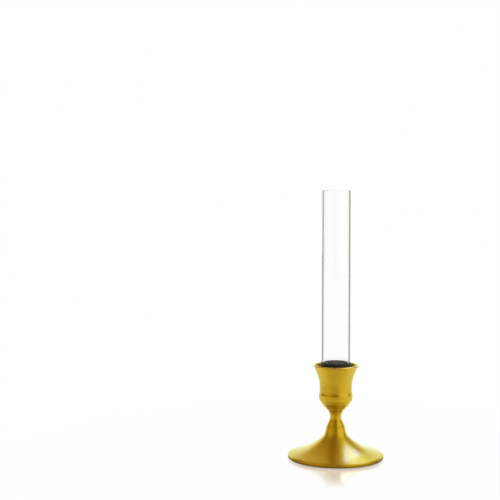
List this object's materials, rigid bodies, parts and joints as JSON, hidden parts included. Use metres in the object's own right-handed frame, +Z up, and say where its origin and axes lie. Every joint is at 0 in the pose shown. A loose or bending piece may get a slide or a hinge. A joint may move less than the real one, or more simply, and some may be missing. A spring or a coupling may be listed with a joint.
{
  "type": "bud vase",
  "caption": "Bud vase: a slim round-bottomed glass tube in a soft sleeve, lifted out of a flared candlestick with a waisted stem and a trumpet foot.",
  "frame": {"origin": "centre of the underside of the base pad, on the axis of the vase", "axes": "+Z up along the axis of the tube, stem and foot; X and Y are alike, because the vase is turned"},
  "size_m": [0.074, 0.074, 0.2079],
  "materials": {
    "satin_gold": "satin turned gold",
    "zinc_steel": "zinc plated",
    "black_silicone": "matt silicone",
    "clear_glass": "clear polished",
    "felt": "tan pressed felt"
  },
  "bodies": {
    "holder": {"base_pad": "felt", "foot": "satin_gold", "stem": "satin_gold", "candle_cup": "satin_gold", "stem_bolt": "zinc_steel", "head_washer": "zinc_steel", "foot_washer": "zinc_steel", "lock_washer": "zinc_steel", "hex_nut": "zinc_steel"},
    "sleeve": {"tube_sleeve": "black_silicone"},
    "tube": {"glass_tube": "clear_glass"}
  },
  "joints": [
    {"name": "insert_lift", "type": "slide", "parent": "holder", "child": "sleeve", "axis": [0, 0, 1], "range_m": [0, 0.035]},
    {"name": "tube_pull", "type": "slide", "parent": "sleeve", "child": "tube", "axis": [0, 0, 1], "range_m": [0, 0.035]}
  ]
}
